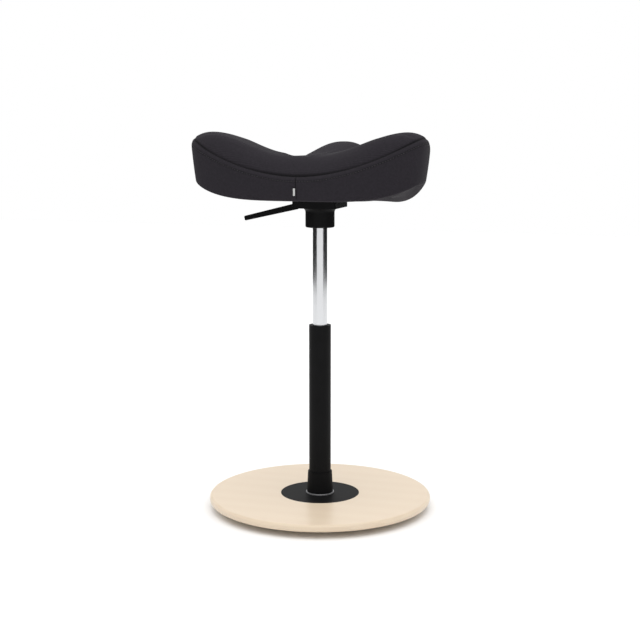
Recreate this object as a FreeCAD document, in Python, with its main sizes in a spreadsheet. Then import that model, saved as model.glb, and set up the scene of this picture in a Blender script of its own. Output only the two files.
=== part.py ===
import FreeCAD, Part
import math
import os
import re
import Sketcher

# Perch stool: a round wooden foot, a gas-lift column and an upholstered saddle seat.
# Millimetres, Z up, origin on the floor at the middle of the foot. The seat's rear edge faces -Y.

os.makedirs("parts", exist_ok=True)
doc = FreeCAD.newDocument("PerchStool")

# Driving sizes. A name ending in _level is a height above the floor.
SIZES = {
    # wooden foot and the rubber ring that it rocks on
    "disc_radius": 213.0, "disc_thickness": 13.5, "disc_level": 12.5, "disc_rounding": 5.5,
    "ring_inner_radius": 138.0, "ring_width": 22.0, "ring_rounding": 4.0, "ring_groove_depth": 1.5,
    # steel flange in the foot, its screws and the plate under the wood
    "flange_radius": 75.5, "flange_thickness": 3.0, "boss_radius": 6.5, "boss_length": 6.5,
    "screw_pitch_radius": 54.0, "screw_count": 4, "screw_radius": 3.0, "screw_head_radius": 5.0,
    "screw_head_height": 3.0, "screw_length": 9.0, "hex_radius": 2.3, "hex_depth": 1.8,
    "under_plate_radius": 66.0, "under_plate_thickness": 2.5, "under_plate_bore_radius": 14.0,
    # outer column
    "stand_radius": 20.9, "stand_wall": 2.0, "stand_top_level": 353.5, "sleeve_height": 43.0,
    "sleeve_top_radius": 23.2, "sleeve_foot_radius": 25.2, "trim_width": 1.8, "trim_height": 2.6,
    "trim_rounding": 1.1, "bush_length": 76.0, "bush_flange_thickness": 1.5,
    # swivel seat of the piston rod at the foot of the column
    "rod_seat_lift": 4.0, "rod_seat_thickness": 5.0, "washer_radius": 13.0, "washer_thickness": 1.6,
    "ball_radius": 2.0, "ball_count": 9, "ball_pitch_radius": 9.0, "cage_thickness": 1.6,
    "cage_width": 6.0, "clip_thickness": 1.2, "clip_radius": 8.5, "bump_radius": 10.5,
    "bump_length": 16.0, "bump_rounding": 2.2,
    # gas spring, upside down: the tube carries the seat and the rod stands in the column
    "rod_radius": 5.0, "spigot_radius": 4.0, "spigot_groove_depth": 1.0, "spigot_end": 1.5,
    "rod_top_level": 402.0, "rod_head_length": 3.0, "piston_length": 14.0, "piston_seal_width": 3.0,
    "piston_seal_depth": 2.0, "tube_radius": 14.0, "tube_tip_radius": 13.1, "tube_wall": 1.2,
    "tube_level": 185.0, "tube_taper_length": 28.0, "tube_drop": 5.0, "guide_length": 18.0,
    "seal_length": 5.0, "valve_length": 34.0, "pin_radius": 2.5, "pin_length": 24.0,
    "pin_cap_radius": 3.2, "pin_cap_height": 3.0, "pin_stroke": 3.6,
    # lift housing under the seat
    "collar_length": 37.0, "collar_radius": 27.5, "collar_rounding": 2.5, "collar_flare": 9.0,
    "housing_level": 578.0, "housing_width": 84.0, "housing_depth": 84.0, "housing_height": 16.0,
    "housing_wall": 4.0, "housing_floor": 2.0, "housing_corner": 4.0, "pillar_radius": 8.0,
    "mount_plate_thickness": 3.0, "seat_screw_spread": 31.0, "seat_screw_radius": 3.0,
    "seat_screw_head_radius": 5.0, "seat_screw_head_height": 3.3,
    # lever
    "pivot_distance": 31.0, "pivot_radius": 1.6, "pivot_eye_radius": 4.2, "ear_thickness": 4.0,
    "ear_width": 9.0, "lever_width": 12.0, "lever_thickness": 5.0, "lever_nose": 5.0,
    "lever_reach": 72.0, "lever_slope": 13.5, "grip_start": 17.0, "grip_end": 121.0,
    "grip_width": 22.0, "grip_root_thickness": 12.0, "grip_tip_thickness": 9.0, "grip_rounding": 3.7,
    # seat outline in plan
    "seat_half_width": 222.0, "seat_rear": 145.0, "seat_front": 196.0, "widest_station": 72.0,
    "rear_power": 3.0, "front_power": 1.75,
    # seat top, as rises above the seat's flat underside: the seam between top and side band, the
    # ridge behind, the wings, the hollow and the pommel
    "rear_seam_rise": 45.0, "side_seam_rise": 109.0, "front_seam_rise": 51.0,
    "ridge_station": 101.0, "ridge_rise": 79.0, "wing_rise": 122.0, "hollow_rise": 63.0,
    "hollow_station": 20.0, "pommel_station": 165.0, "pommel_rise": 101.5,
    "front_top_rise": 79.0, "crown_rise": 13.0,
    "pommel_half_width": 100.0,
    # seat underside: raised under the wings, lower all round the front
    "wing_under_rise": 31.0, "flap_under_drop": 15.0, "side_draw": 7.0, "side_bulge": 1.5,
    "flat_half_width": 95.0,
    # seat layers
    "cover_thickness": 2.0, "board_half_width": 78.0, "board_half_depth": 74.0,
    "board_thickness": 12.0, "board_corner": 30.0, "nut_radius": 4.2, "nut_length": 9.0,
    "nut_flange_radius": 9.0, "nut_flange_thickness": 1.5, "dust_cover_thickness": 1.5,
    "dust_cover_margin": 8.0, "tag_width": 5.0, "tag_height": 15.0, "tag_thickness": 0.8,
    "tag_rise": 10.0,
    # clearances
    "press_gap": 0.02, "running_gap": 0.05, "slide_gap": 0.08, "seat_gap": 0.3, "free_gap": 0.6,
    "cut_margin": 1.0,
}

sheet = doc.addObject("Spreadsheet::Sheet", "Sizes")
for row, (alias, number) in enumerate(SIZES.items(), start=1):
    sheet.set(f"A{row}", alias)
    sheet.set(f"B{row}", str(number))
    sheet.setAlias(f"B{row}", alias)
doc.recompute()

parts = []


def bound(text):
    """An expression in which each size name points at its cell in the sheet."""
    return re.sub(r"\b(?!(?:cos|sin|tan|min|max)\b)[a-z][a-z_]+\b", r"Sizes.\g<0>", text)


def value(alias):
    """The number in one cell of the sheet."""
    return float(sheet.get(alias))


def place(piece, x="0", y="0", z="0"):
    """Ties a piece's position to the sheet."""
    for axis, text in zip("xyz", (x, y, z)):
        piece.setExpression(f"Placement.Base.{axis}", bound(text))


def kept(piece, name):
    """Names a finished sub-part and keeps it for writing."""
    piece.Label = name
    parts.append(piece)
    return piece


# PartDesign pieces: bodies with sketches whose corners are bound to the sheet


def new_body(name, level="0"):
    """A body that stands at the given height."""
    body = kept(doc.addObject("PartDesign::Body", name), name)
    place(body, z=level)
    return body


def sketch_on(body, plane, height=None):
    """An empty sketch on one of the body's own origin planes, or at a height above it."""
    sketch = body.newObject("Sketcher::SketchObject", f"{body.Name}_sketch")
    support = [item for item in body.Origin.OriginFeatures if item.Role == plane][0]
    sketch.AttachmentSupport = (support, "")
    sketch.MapMode = "FlatFace"
    if height:
        sketch.setExpression("AttachmentOffset.Base.z", bound(height))
    return sketch


def pin_point(sketch, geometry, end, x, y):
    """Fixes one point of a sketch at the distances x and y from its origin."""
    for kind, text in (("DistanceX", x), ("DistanceY", y)):
        index = sketch.addConstraint(Sketcher.Constraint(kind, -1, 1, geometry, end, 1.0))
        sketch.setExpression(f"Constraints[{index}]", bound(text))


def draw_corners(sketch, corners):
    """A closed outline of straight lines through corners given as expressions."""
    first = sketch.GeometryCount
    total = len(corners)
    angles = [math.tau * n / total for n in range(total)]
    spots = [FreeCAD.Vector(math.cos(angle), math.sin(angle), 0) for angle in angles]
    for n in range(total):
        sketch.addGeometry(Part.LineSegment(spots[n], spots[(n + 1) % total]), False)
    for n in range(total):
        following = first + (n + 1) % total
        sketch.addConstraint(Sketcher.Constraint("Coincident", first + n, 2, following, 1))
    for n, (x, y) in enumerate(corners):
        pin_point(sketch, first + n, 1, x, y)


def draw_rectangle(sketch, left, right, low, high):
    """A rectangle between four distances."""
    draw_corners(sketch, [(left, low), (right, low), (right, high), (left, high)])


def draw_circle(sketch, radius, x="0", y="0"):
    """A circle of the given radius."""
    circle = Part.Circle(FreeCAD.Vector(0, 0, 0), FreeCAD.Vector(0, 0, 1), 1.0)
    index = sketch.addGeometry(circle, False)
    pin_point(sketch, index, 3, x, y)
    size = sketch.addConstraint(Sketcher.Constraint("Radius", index, 1.0))
    sketch.setExpression(f"Constraints[{size}]", bound(radius))


def pad(body, sketch, length, downward=False, middle=False):
    """Adds the sketch's outline as a prism."""
    feature = body.newObject("PartDesign::Pad", f"{body.Name}_pad")
    feature.Profile = sketch
    feature.setExpression("Length", bound(length))
    feature.Reversed = downward
    feature.Midplane = middle
    return feature


def pocket(body, sketch, length=None, upward=False, middle=False):
    """Cuts the sketch's outline downward by a length, or right through both ways."""
    feature = body.newObject("PartDesign::Pocket", f"{body.Name}_pocket")
    feature.Profile = sketch
    feature.Reversed = upward
    feature.Midplane = middle or length is None
    if length is None:
        feature.Type = "ThroughAll"
    else:
        feature.setExpression("Length", bound(length))
    return feature


def turn(body, corners, cutting=False):
    """Turns an outline of (radius, height) corners about the body's Z axis."""
    sketch = sketch_on(body, "XZ_Plane")
    draw_corners(sketch, corners)
    kind = "Groove" if cutting else "Revolution"
    feature = body.newObject(f"PartDesign::{kind}", f"{body.Name}_{kind.lower()}")
    feature.Profile = sketch
    feature.ReferenceAxis = (sketch, ["V_Axis"])
    feature.Angle = 360
    return feature


def round_edges(body, radius, wanted):
    """Rounds the edges of the body's last feature that the test picks."""
    doc.recompute()
    last = body.Tip
    names = [f"Edge{n}" for n, edge in enumerate(last.Shape.Edges, start=1) if wanted(edge)]
    feature = body.newObject("PartDesign::Fillet", f"{body.Name}_fillet")
    feature.Base = (last, names)
    feature.setExpression("Radius", bound(radius))
    return feature


def ring_edge(radius, height):
    """A test for the full circle of this radius at this height."""
    def wanted(edge):
        if not isinstance(edge.Curve, Part.Circle) or len(edge.Vertexes) > 1:
            return False
        same_radius = abs(edge.Curve.Radius - radius) < 1e-3
        return same_radius and abs(edge.Curve.Center.z - height) < 1e-3
    return wanted


def upright_edge(edge):
    """A test for straight edges along Z."""
    straight = isinstance(edge.Curve, Part.Line)
    return straight and abs(edge.tangentAt(edge.FirstParameter).z) > 0.999


def turned_ring(name, level, inner, outer, height):
    """A plain ring or disc standing at a height."""
    body = new_body(name, level)
    turn(body, [(inner, "0"), (outer, "0"), (outer, height), (inner, height)])
    return body


def polar_holes(body, radius, pitch, count):
    """Drills a ring of holes right through."""
    sketch = sketch_on(body, "XY_Plane")
    draw_circle(sketch, radius, x=pitch)
    drilled = pocket(body, sketch)
    pattern = body.newObject("PartDesign::PolarPattern", f"{body.Name}_pattern")
    pattern.Originals = [drilled]
    axis = [item for item in body.Origin.OriginFeatures if item.Role == "Z_Axis"][0]
    pattern.Axis = (axis, [""])
    pattern.Angle = 360
    pattern.setExpression("Occurrences", bound(count))
    body.Tip = pattern
    return pattern


def corner_spots():
    """The x and y expressions of the seat's four screws."""
    sides = ("seat_screw_spread", "-seat_screw_spread")
    return [(x, y) for x in sides for y in sides]


def corner_holes(body, radius):
    """Drills the holes for the seat's four screws right through."""
    sketch = sketch_on(body, "XY_Plane")
    for x, y in corner_spots():
        draw_circle(sketch, radius, x=x, y=y)
    return pocket(body, sketch)


# Part pieces: primitives and booleans


def cylinder(name, radius, height, x="0", y="0", z="0"):
    """A plain cylinder whose foot is at the given point."""
    piece = doc.addObject("Part::Cylinder", name)
    piece.setExpression("Radius", bound(radius))
    piece.setExpression("Height", bound(height))
    place(piece, x, y, z)
    return piece


def joined(name, pieces):
    """One solid from several overlapping or touching ones."""
    whole = doc.addObject("Part::MultiFuse", name)
    whole.Shapes = pieces
    return whole


def cut_from(name, base, tool):
    """What the tool leaves of the base."""
    rest = doc.addObject("Part::Cut", name)
    rest.Base = base
    rest.Tool = tool
    return rest


def group(name, pieces):
    """Separate solids of one kind in one sub-part."""
    whole = doc.addObject("Part::Compound", name)
    whole.Links = pieces
    return kept(whole, name)


def cap_screw(name, x, y, level, head_radius, head_height, radius, length):
    """A socket-head screw driven upward: its head's lower face is at the level."""
    head = cylinder(f"{name}_head", head_radius, head_height, x, y, level)
    shank = cylinder(f"{name}_shank", radius, length, x, y, f"{level} + {head_height}")
    hexagon = doc.addObject("Part::Prism", f"{name}_hexagon")
    hexagon.Polygon = 6
    hexagon.setExpression("Circumradius", bound("hex_radius"))
    hexagon.setExpression("Height", bound("hex_depth"))
    place(hexagon, x, y, level)
    return cut_from(name, joined(f"{name}_blank", [head, shank]), hexagon)


# Wooden foot


def make_base_disc():
    body = new_body("base_disc", "disc_level")
    bore = "stand_radius + seat_gap"
    plate = "under_plate_radius + seat_gap"
    inside = "ring_inner_radius - press_gap"
    outside = "ring_inner_radius + ring_width + press_gap"
    recess = "flange_radius + seat_gap"
    step = "disc_thickness - flange_thickness"
    turn(body, [
        (bore, "under_plate_thickness"), (plate, "under_plate_thickness"), (plate, "0"),
        (inside, "0"), (inside, "ring_groove_depth"), (outside, "ring_groove_depth"),
        (outside, "0"), ("disc_radius", "0"), ("disc_radius", "disc_thickness"),
        (recess, "disc_thickness"), (recess, step), (bore, step),
    ])
    radius = value("disc_radius")
    top = ring_edge(radius, value("disc_thickness"))
    bottom = ring_edge(radius, 0)
    round_edges(body, "min(disc_rounding, disc_thickness * 0.45)", lambda edge: top(edge) or bottom(edge))
    polar_holes(body, "boss_radius + seat_gap", "screw_pitch_radius", "screw_count")


def make_rocker_ring():
    body = turned_ring("rocker_ring", "0", "ring_inner_radius", "ring_inner_radius + ring_width",
                       "disc_level + ring_groove_depth")
    inner = ring_edge(value("ring_inner_radius"), 0)
    outer = ring_edge(value("ring_inner_radius") + value("ring_width"), 0)
    round_edges(body, "min(ring_rounding, ring_width * 0.4, disc_level * 0.8)",
                lambda edge: inner(edge) or outer(edge))


def screw_spots():
    """The x and y expressions of the foot's screws."""
    count = int(value("screw_count"))
    angles = [360 * n / count for n in range(count)]
    return [(f"screw_pitch_radius * cos({angle})", f"screw_pitch_radius * sin({angle})")
            for angle in angles]


def make_base_flange():
    under = "disc_level + disc_thickness - flange_thickness"
    pieces = [cylinder("flange_disc", "flange_radius", "flange_thickness", z=under)]
    holes = [cylinder("flange_bore", "stand_radius + press_gap", "flange_thickness * 3",
                      z=f"{under} - flange_thickness")]
    for n, (x, y) in enumerate(screw_spots()):
        boss = cylinder(f"flange_boss_{n}", "boss_radius", "boss_length", x, y, f"{under} - boss_length")
        hole = cylinder(f"flange_thread_{n}", "screw_radius + press_gap", "boss_length", x, y,
                        f"{under} - boss_length")
        pieces.append(boss)
        holes.append(hole)
    blank = joined("flange_blank", pieces)
    kept(cut_from("base_flange", blank, joined("flange_holes", holes)), "base_flange")


def make_under_plate():
    body = turned_ring("under_plate", "disc_level", "under_plate_bore_radius", "under_plate_radius",
                       "under_plate_thickness")
    polar_holes(body, "screw_radius + seat_gap", "screw_pitch_radius", "screw_count")


def make_base_screws():
    group("base_screws", [
        cap_screw(f"base_screw_{n}", x, y, "disc_level - screw_head_height", "screw_head_radius",
                  "screw_head_height", "screw_radius", "screw_length")
        for n, (x, y) in enumerate(screw_spots())
    ])


# Outer column

STAND_FOOT = "disc_level + under_plate_thickness"
FLOOR_TOP = "disc_level + disc_thickness"


def make_stand_tube():
    turned_ring("stand_tube", STAND_FOOT, "stand_radius - stand_wall", "stand_radius",
                f"stand_top_level - ({STAND_FOOT})")


def make_base_sleeve():
    body = new_body("base_sleeve", FLOOR_TOP)
    bore = "stand_radius + press_gap"
    turn(body, [(bore, "0"), ("sleeve_foot_radius", "0"), ("sleeve_foot_radius", "trim_height"),
                ("sleeve_top_radius", "sleeve_height"), (bore, "sleeve_height")])


def make_trim_ring():
    body = turned_ring("trim_ring", FLOOR_TOP, "sleeve_foot_radius + press_gap",
                       "sleeve_foot_radius + trim_width", "trim_height")
    outer = ring_edge(value("sleeve_foot_radius") + value("trim_width"), value("trim_height"))
    round_edges(body, "min(trim_rounding, trim_width * 0.9)", outer)


def make_guide_bush():
    body = new_body("guide_bush", "stand_top_level - bush_length")
    bore = "tube_radius + slide_gap"
    barrel = "stand_radius - stand_wall - press_gap"
    top = "bush_length + bush_flange_thickness"
    turn(body, [(bore, "0"), (barrel, "0"), (barrel, "bush_length"), ("stand_radius", "bush_length"),
                ("stand_radius", top), (bore, top)])


# Swivel seat of the piston rod

ROD_SEAT = f"{STAND_FOOT} + rod_seat_lift"
LOWER_WASHER = f"{ROD_SEAT} + rod_seat_thickness"
BALL_FOOT = f"{LOWER_WASHER} + washer_thickness + running_gap"
UPPER_WASHER = f"{BALL_FOOT} + 2 * ball_radius + running_gap"
SHOULDER = f"{UPPER_WASHER} + washer_thickness"
CLIP = f"{ROD_SEAT} - clip_thickness - running_gap"


def make_swivel_seat():
    spigot_bore = "spigot_radius + running_gap"
    turned_ring("rod_seat", ROD_SEAT, spigot_bore, "stand_radius - stand_wall - press_gap",
                "rod_seat_thickness")
    turned_ring("lower_race", LOWER_WASHER, "spigot_radius + seat_gap", "washer_radius", "washer_thickness")
    turned_ring("upper_race", UPPER_WASHER, "spigot_radius + press_gap", "washer_radius",
                "washer_thickness")
    cage = turned_ring("ball_cage", f"{BALL_FOOT} + ball_radius - cage_thickness / 2",
                       "ball_pitch_radius - cage_width / 2", "ball_pitch_radius + cage_width / 2",
                       "cage_thickness")
    polar_holes(cage, "ball_radius + running_gap", "ball_pitch_radius", "ball_count")
    balls = []
    count = int(value("ball_count"))
    for n in range(count):
        ball = doc.addObject("Part::Sphere", f"ball_{n}")
        ball.setExpression("Radius", bound("ball_radius"))
        angle = 360 * n / count
        place(ball, f"ball_pitch_radius * cos({angle})", f"ball_pitch_radius * sin({angle})",
              f"{BALL_FOOT} + ball_radius")
        balls.append(ball)
    group("bearing_balls", balls)


def make_rod_clip():
    turned_ring("rod_clip", CLIP, "spigot_radius - spigot_groove_depth + press_gap", "clip_radius",
                "clip_thickness")


# Gas spring


def make_piston_rod():
    body = new_body("piston_rod")
    neck = "spigot_radius - spigot_groove_depth"
    foot = f"{CLIP} - spigot_end"
    clip_top = f"{CLIP} + clip_thickness + press_gap"
    turn(body, [("0", foot), ("spigot_radius", foot), ("spigot_radius", f"{CLIP} - press_gap"),
                (neck, f"{CLIP} - press_gap"), (neck, clip_top), ("spigot_radius", clip_top),
                ("spigot_radius", SHOULDER), ("rod_radius", SHOULDER), ("rod_radius", "rod_top_level"),
                ("0", "rod_top_level")])


def make_bump_stop():
    body = turned_ring("bump_stop", SHOULDER, "rod_radius + press_gap", "bump_radius", "bump_length")
    outer = ring_edge(value("bump_radius"), value("bump_length"))
    round_edges(body, "min(bump_rounding, (bump_radius - rod_radius) * 0.8)", outer)


PISTON = "rod_top_level - rod_head_length - piston_length"
TUBE_BORE = "tube_tip_radius - tube_wall"


def make_piston():
    body = new_body("piston", PISTON)
    outer = f"{TUBE_BORE} - slide_gap"
    groove = f"{outer} - piston_seal_depth"
    low = "(piston_length - piston_seal_width) / 2"
    high = "(piston_length + piston_seal_width) / 2"
    bore = "rod_radius + press_gap"
    turn(body, [(bore, "0"), (outer, "0"), (outer, low), (groove, low), (groove, high), (outer, high),
                (outer, "piston_length"), (bore, "piston_length")])
    turned_ring("piston_seal", f"{PISTON} + {low} + press_gap", f"{groove} + press_gap", outer,
                "piston_seal_width - 2 * press_gap")


TUBE_TOP = "housing_level - tube_drop"


def make_pressure_tube():
    body = new_body("pressure_tube", "tube_level")
    height = f"({TUBE_TOP} - tube_level)"
    turn(body, [(TUBE_BORE, "0"), ("tube_radius", "0"), ("tube_radius", f"{height} - tube_taper_length"),
                ("tube_tip_radius", height), (TUBE_BORE, height)])


def make_tube_fittings():
    inside = f"{TUBE_BORE} - press_gap"
    turned_ring("rod_guide", "tube_level", "rod_radius + slide_gap", inside, "guide_length")
    turned_ring("rod_seal", "tube_level + guide_length", "rod_radius + slide_gap", inside, "seal_length")
    turned_ring("valve_block", f"{TUBE_TOP} - valve_length", "pin_radius + running_gap", inside,
                "valve_length")


PIN_CAP = f"{TUBE_TOP} + pin_stroke + free_gap"


def make_release_pin():
    body = new_body("release_pin", f"{PIN_CAP} - pin_length")
    cap_top = "pin_length + pin_cap_height"
    turn(body, [("0", "0"), ("pin_radius", "0"), ("pin_radius", "pin_length"),
                ("pin_cap_radius", "pin_length"), ("pin_cap_radius", cap_top), ("0", cap_top)])


# Lift housing. Its body stands at the box's lower face.

PIVOT_HEIGHT = f"({PIN_CAP} + pin_cap_height + seat_gap + lever_thickness / 2)"
PIVOT_IN_HOUSING = f"({PIVOT_HEIGHT} - housing_level)"
HALF_SLOT = "(lever_width / 2 + free_gap)"


def make_lift_housing():
    body = new_body("lift_housing", "housing_level")
    half_x = "housing_width / 2"
    half_y = "housing_depth / 2"

    block = sketch_on(body, "XY_Plane")
    draw_rectangle(block, f"-{half_x}", half_x, f"-{half_y}", half_y)
    pad(body, block, "housing_height")
    round_edges(body, "housing_corner", upright_edge)

    collar = sketch_on(body, "XY_Plane")
    draw_circle(collar, "collar_radius")
    pad(body, collar, "collar_length", downward=True)
    room = "min(housing_width, housing_depth) / 2 - collar_radius - cut_margin"
    round_edges(body, f"min(collar_flare, {room})", ring_edge(value("collar_radius"), 0))
    foot = ring_edge(value("collar_radius"), -value("collar_length"))
    round_edges(body, "collar_rounding", foot)

    inside = sketch_on(body, "XY_Plane", height="housing_height")
    inner_x = "(housing_width / 2 - housing_wall)"
    inner_y = "(housing_depth / 2 - housing_wall)"
    draw_rectangle(inside, f"-{inner_x}", inner_x, f"-{inner_y}", inner_y)
    pocket(body, inside, "housing_height - housing_floor")

    pillars = sketch_on(body, "XY_Plane")
    for x, y in corner_spots():
        draw_circle(pillars, "pillar_radius", x=x, y=y)
    pad(body, pillars, "housing_height")

    ears = sketch_on(body, "XY_Plane")
    near = HALF_SLOT
    far = f"({HALF_SLOT} + ear_thickness)"
    ear_start = "-pivot_distance - ear_width / 2"
    ear_end = "-pivot_distance + ear_width / 2"
    for low, high in ((near, far), (f"-{far}", f"-{near}")):
        draw_rectangle(ears, ear_start, ear_end, low, high)
    pad(body, ears, f"{PIVOT_IN_HOUSING} + ear_width / 2")

    socket = "tube_radius + press_gap"
    tip = "tube_tip_radius + press_gap"
    bottom = "-collar_length - cut_margin"
    top = "housing_floor + cut_margin"
    turn(body, [("0", bottom), (socket, bottom), (socket, "-tube_drop - tube_taper_length"),
                (tip, "-tube_drop"), (tip, top), ("0", top)], cutting=True)

    slot = sketch_on(body, "XY_Plane", height=f"{PIVOT_IN_HOUSING} + lever_thickness / 2 + free_gap")
    draw_rectangle(slot, f"-{half_x} - cut_margin", "0", f"-{HALF_SLOT}", HALF_SLOT)
    pocket(body, slot, f"{PIVOT_IN_HOUSING} + lever_thickness / 2 + 2 * free_gap")

    ear_holes = sketch_on(body, "XZ_Plane")
    draw_circle(ear_holes, "pivot_radius + press_gap", x="-pivot_distance", y=PIVOT_IN_HOUSING)
    pocket(body, ear_holes, f"2 * ({far} + cut_margin)", middle=True)

    corner_holes(body, "seat_screw_radius + seat_gap")
    counterbores = sketch_on(body, "XY_Plane")
    for x, y in corner_spots():
        draw_circle(counterbores, "seat_screw_head_radius + seat_gap", x=x, y=y)
    pocket(body, counterbores, "seat_screw_head_height", upward=True)


MOUNT_PLATE = "housing_level + housing_height"


def make_mount_plate():
    body = new_body("mount_plate", MOUNT_PLATE)
    outline = sketch_on(body, "XY_Plane")
    draw_rectangle(outline, "-housing_width / 2", "housing_width / 2", "-housing_depth / 2",
                   "housing_depth / 2")
    pad(body, outline, "mount_plate_thickness")
    round_edges(body, "housing_corner", upright_edge)
    corner_holes(body, "seat_screw_radius + seat_gap")


SEAT_BOTTOM = f"{MOUNT_PLATE} + mount_plate_thickness"
BOARD_TOP = f"{SEAT_BOTTOM} + board_thickness"


def make_seat_fixings():
    length = f"{BOARD_TOP} - nut_length / 4 - housing_level - seat_screw_head_height"
    group("seat_screws", [
        cap_screw(f"seat_screw_{n}", x, y, "housing_level", "seat_screw_head_radius",
                  "seat_screw_head_height", "seat_screw_radius", length)
        for n, (x, y) in enumerate(corner_spots())
    ])
    nuts = []
    foot = f"{BOARD_TOP} - nut_length"
    for n, (x, y) in enumerate(corner_spots()):
        barrel = cylinder(f"nut_barrel_{n}", "nut_radius", "nut_length", x, y, foot)
        flange = cylinder(f"nut_flange_{n}", "nut_flange_radius", "nut_flange_thickness", x, y, BOARD_TOP)
        thread = cylinder(f"nut_thread_{n}", "seat_screw_radius + press_gap",
                          "nut_length + nut_flange_thickness", x, y, foot)
        nuts.append(cut_from(f"nut_{n}", joined(f"nut_blank_{n}", [barrel, flange]), thread))
    group("tee_nuts", nuts)


# Lever: a bent steel strip with a moulded grip. Both bodies stand at the pivot.


def make_lever():
    body = new_body("lever", PIVOT_HEIGHT)
    place(body, x="-pivot_distance", z=PIVOT_HEIGHT)
    half = "lever_thickness / 2"
    inner = "pivot_distance + lever_nose"
    out_x = "lever_reach * cos(lever_slope)"
    out_z = "lever_reach * sin(lever_slope)"
    lean_x = f"{half} * sin(lever_slope)"
    lean_z = f"{half} * cos(lever_slope)"
    strip = sketch_on(body, "XZ_Plane")
    draw_corners(strip, [
        (inner, half), ("0", half), (f"-{out_x} - {lean_x}", f"-{out_z} + {lean_z}"),
        (f"-{out_x} + {lean_x}", f"-{out_z} - {lean_z}"), ("0", f"-{half}"), (inner, f"-{half}"),
    ])
    pad(body, strip, "lever_width", middle=True)
    eye = sketch_on(body, "XZ_Plane")
    draw_circle(eye, "pivot_eye_radius")
    pad(body, eye, "lever_width", middle=True)
    hole = sketch_on(body, "XZ_Plane")
    draw_circle(hole, "pivot_radius + running_gap")
    pocket(body, hole)


def make_lever_grip():
    body = new_body("lever_grip")
    body.Placement.Rotation = FreeCAD.Rotation(FreeCAD.Vector(0, 1, 0), 180 - value("lever_slope"))
    body.setExpression("Placement.Rotation.Angle", bound("180 - lever_slope"))
    place(body, x="-pivot_distance", z=PIVOT_HEIGHT)
    root = "grip_root_thickness / 2"
    tip = "grip_tip_thickness / 2"
    side = sketch_on(body, "XZ_Plane")
    draw_corners(side, [("grip_start", f"-{root}"), ("grip_end", f"-{tip}"), ("grip_end", tip),
                        ("grip_start", root)])
    pad(body, side, "grip_width", middle=True)
    end = value("grip_end")

    def at_tip(edge):
        return all(abs(vertex.Point.x - end) < 1e-3 for vertex in edge.Vertexes)

    round_edges(body, "min(grip_rounding, grip_tip_thickness * 0.42)", at_tip)
    recess = sketch_on(body, "YZ_Plane")
    half_width = "(lever_width / 2 + press_gap)"
    half_height = "(lever_thickness / 2 + press_gap)"
    draw_rectangle(recess, f"-{half_width}", half_width, f"-{half_height}", half_height)
    pocket(body, recess, "lever_reach + press_gap", upward=True)


def make_pivot_pin():
    pin = cylinder("pivot_pin", "pivot_radius", f"2 * ({HALF_SLOT} + ear_thickness)")
    pin.Placement.Rotation = FreeCAD.Rotation(FreeCAD.Vector(1, 0, 0), 90)
    place(pin, "-pivot_distance", f"{HALF_SLOT} + ear_thickness", PIVOT_HEIGHT)
    kept(pin, "pivot_pin")


# Seat. Its surfaces are height functions over the plan, measured from the seat's flat underside.
# Each section across the seat is a closed outline of lines and arcs, and the solid is a loft
# through the sections from rear to front.

REAR_STEPS = (0.985, 0.93, 0.82, 0.62, 0.4, 0.18)
FRONT_STEPS = (0.0, 0.13, 0.26, 0.4, 0.54, 0.67, 0.79, 0.88, 0.94, 0.975)
LOFT_DEGREE = 2

# Where the top's hollow ends and its rounded shoulder starts, as shares of the half width.
HOLLOW_SHARE = 0.46
CREST_SHARE = 0.84
# The middle of the shoulder's arc: share of the way out, and share of the way down to the seam.
SHOULDER_OUT = 0.62
SHOULDER_DOWN = 0.34
# Half width of the flat underside, at most this share of the seat's; and how its slope starts.
FLAT_SHARE = 0.64
SLOPE_START = 0.3
# How late lines rise toward the sides: the rear seam, the top and the lower edge under the wings.
SEAM_CURVE = 1.9
TOP_CURVE = 1.25
WING_CURVE = 4.2
# Stations, as shares of the pommel's: where the side seam is down to the front seam, where the
# pommel has its full form, and between which two the lower edge and the underside come down.
SEAM_DOWN = 0.75
POMMEL_FULL = 0.67
EDGE_START = -0.24
EDGE_DOWN = 0.88
UNDER_START = 0.55
UNDER_DOWN = 0.95
# Where the seat is narrower than this, its sides are drawn in less.
FULL_DRAW_WIDTH = 100.0
# An arc that bends less than this is drawn as a line.
LEAST_BEND = 0.02


def eased(station, start, end):
    """A smooth step from 0 at the start station to 1 at the end station."""
    share = min(max((station - start) / (end - start), 0.0), 1.0)
    return share * share * (3 - 2 * share)


def mixed(low, high, share):
    """A value between two others."""
    return low + (high - low) * share


def mirrored(point):
    """The same point of a section on its other side."""
    return (-point[0], point[1])


def arc_edge(start, middle, end, y):
    """An arc through three points of a section, or a line where they are in line."""
    a, b, c = (FreeCAD.Vector(x, y, z) for x, z in (start, middle, end))
    bend = (b - a).cross(c - a).Length / (c - a).Length
    if bend < LEAST_BEND:
        return Part.LineSegment(a, c).toShape()
    return Part.Arc(a, b, c).toShape()


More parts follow.
